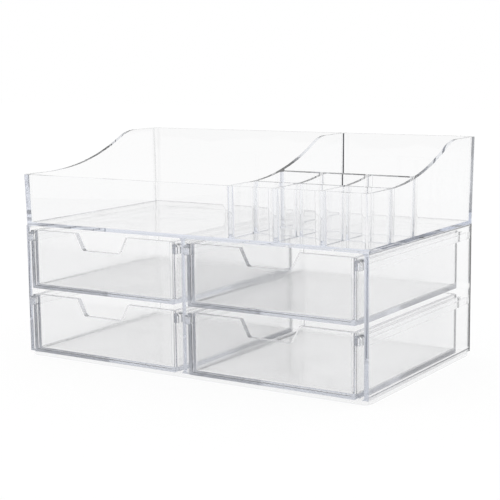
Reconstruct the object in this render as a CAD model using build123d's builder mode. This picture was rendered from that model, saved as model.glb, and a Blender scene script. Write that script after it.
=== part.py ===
from build123d import *
import os
from math import acos, degrees, radians, tan

# A clear acrylic make-up organiser. The cabinet has two bays with two drawers each. The tray on its top has
# a wide compartment on the left, six upright slots at the right front and a compartment behind them.
# Millimetres, +Z up, +X to the right, the drawers open towards -Y. The origin lies on the surface that
# the organiser stands on, under the middle of its overall box.

os.makedirs("parts", exist_ok=True)

# ---- Cabinet ----
cabinet_width = 240.0
cabinet_depth = 136.0
base_thickness = 2.6
base_corner_radius = 5.0
base_edge_radius = 0.5
side_thickness = 2.8
partition_thickness = 2.5
back_thickness = 2.5
back_corner_radius = 1.0
cove_radius = 2.0  # where a bay's walls meet its floor and ceiling
cove_foot_share = 0.75  # a cove stops at this share of its radius, short of a knife edge
cement_gap = 0.02  # film of cement between pieces that are joined face to face

# ---- Drawers ----
bay_names = ["left", "right"]
tier_names = ["lower", "upper"]
drawer_height = 36.4
drawer_floor_gap = 0.7  # under the lowest drawer
drawer_tier_gap = 4.0  # from one drawer's rim to the next drawer's floor
drawer_ceiling_gap = 2.3  # over the highest drawer
drawer_wall_gap = 3.4  # from a drawer's side wall to the bay's wall
drawer_rear_gap = 7.5  # from a closed drawer to the back panel
drawer_proud = 3.3  # how far a closed drawer stands out of the cabinet
drawer_side_thickness = 2.8
drawer_floor_thickness = 2.1
drawer_front_thickness = 4.2
drawer_back_thickness = 2.4
drawer_rear_radius = 3.0
drawer_cavity_radius = 1.4
drawer_floor_radius = 1.2
front_inset = 1.0  # the front panel lies this far behind the rim round it
front_corner_radius = 0.8
front_edge_bevel = 0.35
notch_top_width = 38.4  # finger notch in a drawer's front
notch_bottom_width = 27.8
notch_depth = 10.2
notch_radius = 2.5

# ---- Drawer runners ----
flange_thickness = 2.0
flange_drop = 1.0  # from the drawer's rim down to the flange
ear_height = 5.8  # the front's ears hide the ends of the flange and the runner
ear_radius = 2.2
runner_height = 3.8
runner_side_clearance = 0.6  # from a runner to the drawer's side wall
runner_nose_radius = 1.2
slide_clearance = 0.3  # from a drawer to whatever it slides past or rests on

# ---- Tray ----
tray_floor_thickness = 2.0
tray_wall_thickness = 2.4
tray_corner_radius = 1.2
tray_cavity_radius = 2.6  # upright inner corners of the slots and compartments
tray_lean = 1.2  # degrees that the outer walls lean outwards
tray_front_height = 31.8  # outer height of the front wall
tray_back_height = 53.0  # outer height of the back wall
sweep_start = 22.0  # from the cabinet's front to where the side walls begin to rise
sweep_radius = 165.0  # hollow lower part of the rise
crest_radius = 32.0  # rounded upper part of the rise
divider_thickness = 2.5
divider_offset = 31.3  # from the middle of the cabinet to the divider's middle
slot_wall_thickness = 2.4
slot_columns = 3
slot_rows = 2
slot_width = 27.2
slot_depth = 26.2
first_slot_depth = 24.0

# ---- Where things lie ----
lean_slope = tan(radians(tray_lean))
back_overhang = tray_back_height * lean_slope
overall_depth = drawer_proud + cabinet_depth + back_overhang
front_y = drawer_proud - overall_depth / 2
back_y = front_y + cabinet_depth
middle_y = (front_y + back_y) / 2
bay_rear_y = back_y - back_thickness
wall_rear_y = bay_rear_y - cement_gap

bay_width = (cabinet_width - 2 * side_thickness - partition_thickness) / 2
bay_height = (
    drawer_floor_gap
    + len(tier_names) * drawer_height
    + (len(tier_names) - 1) * drawer_tier_gap
    + drawer_ceiling_gap
)
bay_middle_z = base_thickness + bay_height / 2
bay_offset = (partition_thickness + bay_width) / 2
bay_centres = [-bay_offset, bay_offset]
panel_height = bay_height - 2 * cement_gap
tray_z = base_thickness + bay_height

drawer_front_y = front_y - drawer_proud
drawer_wall_y = drawer_front_y + drawer_front_thickness
drawer_rear_y = bay_rear_y - drawer_rear_gap
drawer_width = bay_width - 2 * drawer_wall_gap
flange_span = bay_width - 2 * slide_clearance
runner_width = drawer_wall_gap - runner_side_clearance - cement_gap
runner_front_y = drawer_wall_y + slide_clearance
drawer_levels = [
    base_thickness + drawer_floor_gap + tier * (drawer_height + drawer_tier_gap)
    for tier in range(len(tier_names))
]

# ---- Base ----
with BuildPart() as base_plate:
    with BuildSketch():
        with Locations((0, middle_y)):
            RectangleRounded(cabinet_width, cabinet_depth, base_corner_radius)
    extrude(amount=base_thickness)
    fillet(base_plate.edges().group_by(Axis.Z)[0], radius=base_edge_radius)
base_plate.part.label = "base_plate"
export_step(base_plate.part, "parts/base_plate.step")

# ---- Back panel ----
with BuildPart() as back_panel:
    with BuildSketch(Plane.XZ.offset(-back_y)):
        with Locations((0, bay_middle_z)):
            Rectangle(cabinet_width, panel_height)
    extrude(amount=back_thickness)
    fillet(back_panel.edges().filter_by(Axis.Z).group_by(Axis.Y)[-1], radius=back_corner_radius)
back_panel.part.label = "back_panel"
export_step(back_panel.part, "parts/back_panel.step")


# ---- Side panels and the partition between the bays ----
# A wall's section is a strip less the rounded outline of each bay, so it spreads into a cove at both ends.
cove_foot = cove_radius * cove_foot_share
wall_sections = {
    "left_side_panel": (-cabinet_width / 2, -cabinet_width / 2 + side_thickness + cove_foot),
    "centre_partition": (-partition_thickness / 2 - cove_foot, partition_thickness / 2 + cove_foot),
    "right_side_panel": (cabinet_width / 2 - side_thickness - cove_foot, cabinet_width / 2),
}

for wall_name, (left_x, right_x) in wall_sections.items():
    with BuildPart() as bay_wall:
        with BuildSketch(Plane.XZ.offset(-wall_rear_y)):
            with Locations(((left_x + right_x) / 2, bay_middle_z)):
                Rectangle(right_x - left_x, panel_height)
            with Locations(*[(bay_x, bay_middle_z) for bay_x in bay_centres]):
                RectangleRounded(bay_width, bay_height, cove_radius, mode=Mode.SUBTRACT)
        extrude(amount=wall_rear_y - front_y)
    bay_wall.part.label = wall_name
    export_step(bay_wall.part, f"parts/{wall_name}.step")


# ---- Runners: a strip on each wall of each bay carries the flange of each drawer ----
def make_runner(runner_name, runner_x, runner_top_z):
    with BuildPart() as runner:
        with BuildSketch(Plane.YZ.offset(runner_x - runner_width / 2)) as runner_side:
            with BuildLine():
                Polyline(
                    (runner_front_y, runner_top_z - runner_height),
                    (runner_front_y, runner_top_z),
                    (wall_rear_y, runner_top_z),
                    (wall_rear_y, runner_top_z - runner_height),
                    close=True,
                )
            make_face()
            fillet(runner_side.vertices().group_by(Axis.Y)[0], radius=runner_nose_radius)
        extrude(amount=runner_width)
    runner.part.label = runner_name
    export_step(runner.part, f"parts/{runner_name}.step")


# ---- Drawers ----
def make_drawer(drawer_name, centre_x, floor_z):
    top_z = floor_z + drawer_height
    flange_top_z = top_z - flange_drop
    shell_length = drawer_rear_y - drawer_wall_y
    shell_middle_y = (drawer_rear_y + drawer_wall_y) / 2
    cavity_length = shell_length - drawer_back_thickness

    with BuildPart() as drawer:
        # Front wall with an ear at each side and the finger notch
        with BuildSketch(Plane.XZ.offset(-drawer_wall_y)) as front_outline:
            with Locations((centre_x, floor_z + drawer_height / 2)):
                Rectangle(drawer_width, drawer_height)
            with Locations((centre_x, flange_top_z - ear_height / 2)):
                Rectangle(flange_span, ear_height)
            ear_ends = front_outline.vertices().group_by(Axis.X)
            fillet((ear_ends[0] + ear_ends[-1]).group_by(Axis.Y)[-1], radius=ear_radius)
            ear_ends = front_outline.vertices().group_by(Axis.X)
            ear_feet = (ear_ends[0] + ear_ends[-1]).group_by(Axis.Y)[0]
            floor_corners = front_outline.vertices().group_by(Axis.Y)[0]
            fillet(ear_feet + floor_corners, radius=front_corner_radius)
            with BuildSketch(mode=Mode.PRIVATE) as notch:
                with BuildLine():
                    Polyline(
                        (centre_x - notch_top_width / 2, top_z),
                        (centre_x - notch_bottom_width / 2, top_z - notch_depth),
                        (centre_x + notch_bottom_width / 2, top_z - notch_depth),
                        (centre_x + notch_top_width / 2, top_z),
                        close=True,
                    )
                make_face()
                fillet(notch.vertices().group_by(Axis.Y)[0], radius=notch_radius)
            add(notch.sketch, mode=Mode.SUBTRACT)
        extrude(amount=drawer_front_thickness)

        # The front panel lies back inside its rim, which is open at the top
        with BuildSketch(Plane.XZ.offset(-drawer_front_y)):
            with Locations((centre_x, top_z)):
                Rectangle(
                    drawer_width - 2 * drawer_side_thickness,
                    drawer_height - drawer_floor_thickness,
                    align=(Align.CENTER, Align.MAX),
                )
        extrude(amount=-front_inset, mode=Mode.SUBTRACT)
        chamfer(drawer.edges().group_by(Axis.Y)[0], length=front_edge_bevel)

        # Side walls, back wall and floor, with a flange along each side under the rim
        with BuildSketch(Plane.XY.offset(floor_z)) as shell:
            with Locations((centre_x, shell_middle_y)):
                Rectangle(drawer_width, shell_length)
            fillet(shell.vertices().group_by(Axis.Y)[-1], radius=drawer_rear_radius)
        extrude(amount=drawer_height)
        with BuildSketch(Plane.XY.offset(flange_top_z - flange_thickness)):
            with Locations((centre_x, shell_middle_y - drawer_rear_radius / 2)):
                Rectangle(flange_span, shell_length - drawer_rear_radius)
        extrude(amount=flange_thickness)

        # Inside of the drawer
        with BuildSketch(Plane.XY.offset(floor_z + drawer_floor_thickness)):
            with Locations((centre_x, drawer_wall_y + cavity_length / 2)):
                RectangleRounded(
                    drawer_width - 2 * drawer_side_thickness, cavity_length, drawer_cavity_radius
                )
        extrude(amount=drawer_height - drawer_floor_thickness, mode=Mode.SUBTRACT)
        fillet(drawer.edges(Select.LAST).group_by(Axis.Z)[0], radius=drawer_floor_radius)
    drawer.part.label = drawer_name
    export_step(drawer.part, f"parts/{drawer_name}.step")


for bay_name, bay_x in zip(bay_names, bay_centres):
    for tier_name, level_z in zip(tier_names, drawer_levels):
        make_drawer(f"drawer_{bay_name}_{tier_name}", bay_x, level_z)
        runner_seat_z = level_z + drawer_height - flange_drop - flange_thickness - slide_clearance
        for side_name, side in (("left", -1), ("right", 1)):
            runner_offset = side * ((bay_width - runner_width) / 2 - cement_gap)
            make_runner(f"runner_{bay_name}_{tier_name}_{side_name}", bay_x + runner_offset, runner_seat_z)


# ---- Tray ----
# The walls are first made too high, and one cut along the swept rim then trims all of them.
trim_height = 5.0
blank_height = tray_back_height + trim_height
rise = tray_back_height - tray_front_height
sweep_angle = degrees(acos(1 - rise / (sweep_radius + crest_radius)))
rim_front_z = tray_z + tray_front_height
rim_back_z = tray_z + tray_back_height
tray_inner_z = tray_z + tray_floor_thickness
# An upright wall inside the tray ends in the stretch that a leaning outer wall fills at every height.
wall_root = (tray_wall_thickness - blank_height * lean_slope) / 2
slot_wall_height = blank_height - tray_floor_thickness
divider_face_x = divider_offset + divider_thickness / 2
tray_right_x = cabinet_width / 2 - wall_root
first_row_y = front_y + tray_wall_thickness + first_slot_depth
slot_wall_ys = [
    first_row_y + slot_wall_thickness / 2 + row * (slot_depth + slot_wall_thickness)
    for row in range(slot_rows)
]
slot_wall_xs = [
    divider_face_x + slot_width + slot_wall_thickness / 2 + column * (slot_width + slot_wall_thickness)
    for column in range(slot_columns - 1)
]

with BuildPart() as top_tray:
    with BuildSketch(Plane.XY.offset(tray_z)):
        with Locations((0, middle_y)):
            RectangleRounded(cabinet_width, cabinet_depth, tray_corner_radius)
    extrude(amount=blank_height, taper=-tray_lean)
    with BuildSketch(Plane.XY.offset(tray_inner_z)):
        with Locations((0, middle_y)):
            RectangleRounded(
                cabinet_width - 2 * tray_wall_thickness,
                cabinet_depth - 2 * tray_wall_thickness,
                tray_cavity_radius,
            )
    extrude(amount=slot_wall_height, taper=-tray_lean, mode=Mode.SUBTRACT)

    # Divider, the walls between the slots' columns and the walls behind the slots' rows
    with BuildSketch(Plane.XY.offset(tray_inner_z)):
        with Locations((divider_offset, middle_y)):
            Rectangle(divider_thickness, cabinet_depth - 2 * wall_root)
        with Locations(*[(wall_x, front_y + wall_root) for wall_x in slot_wall_xs]):
            Rectangle(
                slot_wall_thickness,
                slot_wall_ys[-1] - front_y - wall_root,
                align=(Align.CENTER, Align.MIN),
            )
        with Locations(*[(divider_offset, wall_y) for wall_y in slot_wall_ys]):
            Rectangle(tray_right_x - divider_offset, slot_wall_thickness, align=(Align.MIN, Align.CENTER))
    extrude(amount=slot_wall_height)
    wall_joints = top_tray.edges(Select.LAST).filter_by(Axis.Z, tolerance=2 * tray_lean)
    fillet(wall_joints, radius=tray_cavity_radius)

    # The rim runs level, rises in a hollow sweep and rounds over to the height of the back wall
    with BuildSketch(Plane.YZ.offset(-cabinet_width)):
        with BuildLine():
            level = Line((front_y - trim_height, rim_front_z), (front_y + sweep_start, rim_front_z))
            sweep_rise = JernArc(level @ 1, level % 1, sweep_radius, sweep_angle)
            crest = JernArc(sweep_rise @ 1, sweep_rise % 1, crest_radius, -sweep_angle)
            Polyline(
                crest @ 1,
                (back_y + 2 * trim_height, rim_back_z),
                (back_y + 2 * trim_height, rim_back_z + 2 * trim_height),
                (front_y - trim_height, rim_back_z + 2 * trim_height),
                level @ 0,
            )
        make_face()
    extrude(amount=2 * cabinet_width, mode=Mode.SUBTRACT)
top_tray.part.label = "top_tray"
export_step(top_tray.part, "parts/top_tray.step")
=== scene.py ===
from math import cos, sin

import bpy
from mathutils import Matrix, Vector


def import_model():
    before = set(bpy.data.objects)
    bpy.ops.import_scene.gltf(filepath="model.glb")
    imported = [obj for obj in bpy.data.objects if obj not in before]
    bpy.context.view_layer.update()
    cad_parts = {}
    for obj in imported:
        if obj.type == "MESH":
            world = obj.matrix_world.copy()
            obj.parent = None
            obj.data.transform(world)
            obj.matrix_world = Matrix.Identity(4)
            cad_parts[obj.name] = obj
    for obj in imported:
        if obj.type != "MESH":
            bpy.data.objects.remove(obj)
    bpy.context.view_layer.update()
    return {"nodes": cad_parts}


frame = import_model()

# ---- Camera: the photograph's view, in metres and radians ----
CAMERA_PLACE = Vector((0.4273, -0.6582, 0.1890))
CAMERA_YAW = 0.573  # to the left of straight ahead
CAMERA_PITCH = -0.155
CAMERA_ROLL = -0.012
LENS = 92.36  # this and the sensor's width are in millimetres
SENSOR = 36.0
NEAREST = 0.01
FARTHEST = 50.0

# ---- Light ----
STUDIO_COLOUR = (1.0, 1.0, 1.0, 1.0)
WHITE = 1.0  # the background, seen by the camera
BACKDROP = 0.89  # the background, seen through the plastic
LIGHT_SIDE = (-0.55, 0.83, 0.0)  # from the object to the light side of the room
LIT_ROOM = 0.93  # that side of the room, seen in a reflection
DIM_ROOM = 0.6  # the other side of the room, seen in a reflection
DIM_FLOOR = 0.8  # the floor on the dim side, seen in a reflection
DARK_END = 0.35  # the dim side, seen along a wall by way of many reflections
FEW_REFLECTIONS = 6.0  # from here on the dim side gets darker
MANY_REFLECTIONS = 14.0  # and here it has reached the dark end
ROOM_TURN = (0.0, 0.9)  # where along the light side's direction the room gets lighter
FLOOR_TURN = (-0.35, 0.35)  # where its floor does, in metres
NO_TO_YES = (0.0, 1.0)
FLOOR_SIZE = 6.0
FLOOR_COLOUR = (0.1, 0.1, 0.1, 1.0)
FLOOR_GLOW = 0.92  # with the light that falls on it, this makes the floor white

# ---- Clear plastic ----
IOR = 1.49
CLEAR = (1.0, 1.0, 1.0, 1.0)
TINT = (0.76, 0.79, 0.865, 1.0)  # colour that light takes on along the inside of a wall
TINT_DENSITY = 8.0  # per metre
BROAD_WAVES = 40.0  # lumps to the metre
BROAD_DETAIL = 1.0
SHORT_WAVES = 220.0
SHORT_DETAIL = 2.0
SHORT_SHARE = 0.015  # height of the short waves as a share of the broad ones
SHEET_WAVINESS = 0.00003  # height of the waves in metres
MOULDED_WAVINESS = 0.00006
DULL_PATCHES = 30.0  # lumps to the metre
PATCH_DETAIL = 3.0
PATCH_RANGE = (0.5, 0.75)  # the part of the noise over which a patch gets duller
SHEET_DULLNESS = 0.012
MOULDED_DULLNESS = 0.1
DULLER = 0.03  # what the dullest patches add

# ---- Render ----
BOUNCES = 48  # enough for light to pass all the walls
SEE_THROUGH_BOUNCES = 32


def camera():
    """The camera with the fitted place, yaw, pitch and roll."""
    data = bpy.data.cameras.new("camera")
    data.lens = LENS
    data.sensor_width = SENSOR
    data.clip_start = NEAREST
    data.clip_end = FARTHEST
    cam = bpy.data.objects.new("camera", data)
    bpy.context.collection.objects.link(cam)
    forward = Vector((
        -sin(CAMERA_YAW) * cos(CAMERA_PITCH), cos(CAMERA_YAW) * cos(CAMERA_PITCH), sin(CAMERA_PITCH)
    ))
    level = Vector((cos(CAMERA_YAW), sin(CAMERA_YAW), 0.0))
    above = level.cross(forward)
    right = level * cos(CAMERA_ROLL) + above * sin(CAMERA_ROLL)
    up = above * cos(CAMERA_ROLL) - level * sin(CAMERA_ROLL)
    turn = Matrix((right, up, -forward)).transposed()
    cam.matrix_world = Matrix.Translation(CAMERA_PLACE) @ turn.to_4x4()
    bpy.context.scene.camera = cam


def new_material(name):
    """An empty node material and its output node."""
    material = bpy.data.materials.new(name)
    material.use_nodes = True
    tree = material.node_tree
    tree.nodes.clear()
    return material, tree, tree.nodes.new("ShaderNodeOutputMaterial")


def put(links, value, socket):
    """Links the socket to a value that is a socket too, or sets it to a number."""
    if isinstance(value, bpy.types.NodeSocket):
        links.new(value, socket)
    else:
        socket.default_value = value


def math_node(nodes, links, operation, first, second):
    """A math node on two values, each of them a socket or a number."""
    node = nodes.new("ShaderNodeMath")
    node.operation = operation
    put(links, first, node.inputs[0])
    put(links, second, node.inputs[1])
    return node.outputs["Value"]


def blend(nodes, links, share, first, second):
    """The first value where share is 0 and the second where it is 1."""
    node = nodes.new("ShaderNodeMix")
    put(links, share, node.inputs["Factor"])
    put(links, first, node.inputs["A"])
    put(links, second, node.inputs["B"])
    return node.outputs["Result"]


def ramp(nodes, links, value, given, result):
    """Goes smoothly through the range result while the value goes through the range given."""
    node = nodes.new("ShaderNodeMapRange")
    node.interpolation_type = "SMOOTHSTEP"
    sockets = ("From Min", "From Max", "To Min", "To Max")
    for socket, number in zip(sockets, (*given, *result)):
        node.inputs[socket].default_value = number
    links.new(value, node.inputs["Value"])
    return node.outputs["Result"]


def noise(nodes, links, place, scale, detail):
    """Noise with this many lumps to the metre."""
    node = nodes.new("ShaderNodeTexNoise")
    node.inputs["Scale"].default_value = scale
    node.inputs["Detail"].default_value = detail
    links.new(place, node.inputs["Vector"])
    return node.outputs["Fac"]


def clear_plastic(name, waviness, dullness):
    """Clear plastic: slightly wavy, a little duller in patches, and tinted inside."""
    material, tree, output = new_material(name)
    nodes, links = tree.nodes, tree.links
    surface = nodes.new("ShaderNodeBsdfPrincipled")
    surface.inputs["Base Color"].default_value = CLEAR
    surface.inputs["Transmission Weight"].default_value = 1.0
    surface.inputs["IOR"].default_value = IOR
    place = nodes.new("ShaderNodeTexCoord").outputs["Object"]

    # Shallow waves from the mould, broad ones and short ones
    broad = noise(nodes, links, place, BROAD_WAVES, BROAD_DETAIL)
    short = noise(nodes, links, place, SHORT_WAVES, SHORT_DETAIL)
    low_short = math_node(nodes, links, "MULTIPLY", short, SHORT_SHARE)
    waves = math_node(nodes, links, "ADD", broad, low_short)
    bump = nodes.new("ShaderNodeBump")
    bump.inputs["Strength"].default_value = 1.0
    bump.inputs["Distance"].default_value = waviness
    links.new(waves, bump.inputs["Height"])
    links.new(bump.outputs["Normal"], surface.inputs["Normal"])

    # Patches that handling has made a little duller
    patches = noise(nodes, links, place, DULL_PATCHES, PATCH_DETAIL)
    dull = ramp(nodes, links, patches, PATCH_RANGE, (dullness, dullness + DULLER))
    links.new(dull, surface.inputs["Roughness"])

    inside = nodes.new("ShaderNodeVolumeAbsorption")
    inside.inputs["Color"].default_value = TINT
    inside.inputs["Density"].default_value = TINT_DENSITY
    links.new(inside.outputs["Volume"], output.inputs["Volume"])
    links.new(surface.outputs["BSDF"], output.inputs["Surface"])
    return material


def studio_level(nodes, links, place, turn, dim, to_camera):
    """How bright the studio looks to the camera, through the plastic and in a reflection.

    A reflection shows a room that is light on one side and dim on the other. It gets lighter over
    the turn, a range of the place along the light side's direction. Reflections inside the
    plastic count, and after many of them the dim side is darker.
    """
    path = nodes.new("ShaderNodeLightPath")
    along = nodes.new("ShaderNodeVectorMath")
    along.operation = "DOT_PRODUCT"
    along.inputs[1].default_value = LIGHT_SIDE
    links.new(place, along.inputs[0])
    reflections = path.outputs["Glossy Depth"]
    more = (FEW_REFLECTIONS, MANY_REFLECTIONS)
    dim_side = ramp(nodes, links, reflections, more, (dim, DARK_END))
    lighter = ramp(nodes, links, along.outputs["Value"], turn, NO_TO_YES)
    room = blend(nodes, links, lighter, dim_side, LIT_ROOM)
    reflected = math_node(nodes, links, "MINIMUM", reflections, 1.0)
    not_direct = blend(nodes, links, reflected, BACKDROP, room)
    return blend(nodes, links, path.outputs["Is Camera Ray"], not_direct, to_camera)


def world():
    """A studio that is white to the camera, with a light side and a dim side in reflections."""
    made = bpy.data.worlds.new("studio")
    bpy.context.scene.world = made
    made.use_nodes = True
    nodes, links = made.node_tree.nodes, made.node_tree.links
    nodes.clear()
    output = nodes.new("ShaderNodeOutputWorld")
    background = nodes.new("ShaderNodeBackground")
    direction = nodes.new("ShaderNodeTexCoord").outputs["Generated"]
    level = studio_level(nodes, links, direction, ROOM_TURN, DIM_ROOM, WHITE)
    background.inputs["Color"].default_value = STUDIO_COLOUR
    links.new(level, background.inputs["Strength"])
    links.new(background.outputs["Background"], output.inputs["Surface"])


def floor():
    """A white floor that keeps the object's faint shadow."""
    bpy.ops.mesh.primitive_plane_add(size=FLOOR_SIZE)
    plane = bpy.context.object
    plane.name = "floor"
    material, tree, output = new_material("floor_white")
    nodes, links = tree.nodes, tree.links
    place = nodes.new("ShaderNodeTexCoord").outputs["Object"]
    level = studio_level(nodes, links, place, FLOOR_TURN, DIM_FLOOR, FLOOR_GLOW)
    lit = nodes.new("ShaderNodeBsdfDiffuse")
    lit.inputs["Color"].default_value = FLOOR_COLOUR
    glow = nodes.new("ShaderNodeEmission")
    glow.inputs["Color"].default_value = STUDIO_COLOUR
    links.new(level, glow.inputs["Strength"])
    both = nodes.new("ShaderNodeAddShader")
    links.new(lit.outputs["BSDF"], both.inputs[0])
    links.new(glow.outputs["Emission"], both.inputs[1])
    links.new(both.outputs["Shader"], output.inputs["Surface"])
    plane.data.materials.append(material)


def render_look():
    """Plain colours, and enough bounces for light to pass all the walls."""
    scene = bpy.context.scene
    scene.view_settings.view_transform = "Standard"
    scene.cycles.max_bounces = BOUNCES
    scene.cycles.transmission_bounces = BOUNCES
    scene.cycles.glossy_bounces = BOUNCES
    scene.cycles.transparent_max_bounces = SEE_THROUGH_BOUNCES


def finish_nodes():
    """Every CAD node gets the plastic of its piece."""
    cabinet = clear_plastic("cabinet_acrylic", SHEET_WAVINESS, SHEET_DULLNESS)
    drawer = clear_plastic("drawer_acrylic", MOULDED_WAVINESS, MOULDED_DULLNESS)
    tray = clear_plastic("tray_acrylic", MOULDED_WAVINESS, SHEET_DULLNESS)
    for name, node in frame["nodes"].items():
        if name.startswith("drawer"):
            material = drawer
        elif name == "top_tray":
            material = tray
        else:
            material = cabinet
        node.data.materials.clear()
        node.data.materials.append(material)


camera()
world()
floor()
render_look()
finish_nodes()
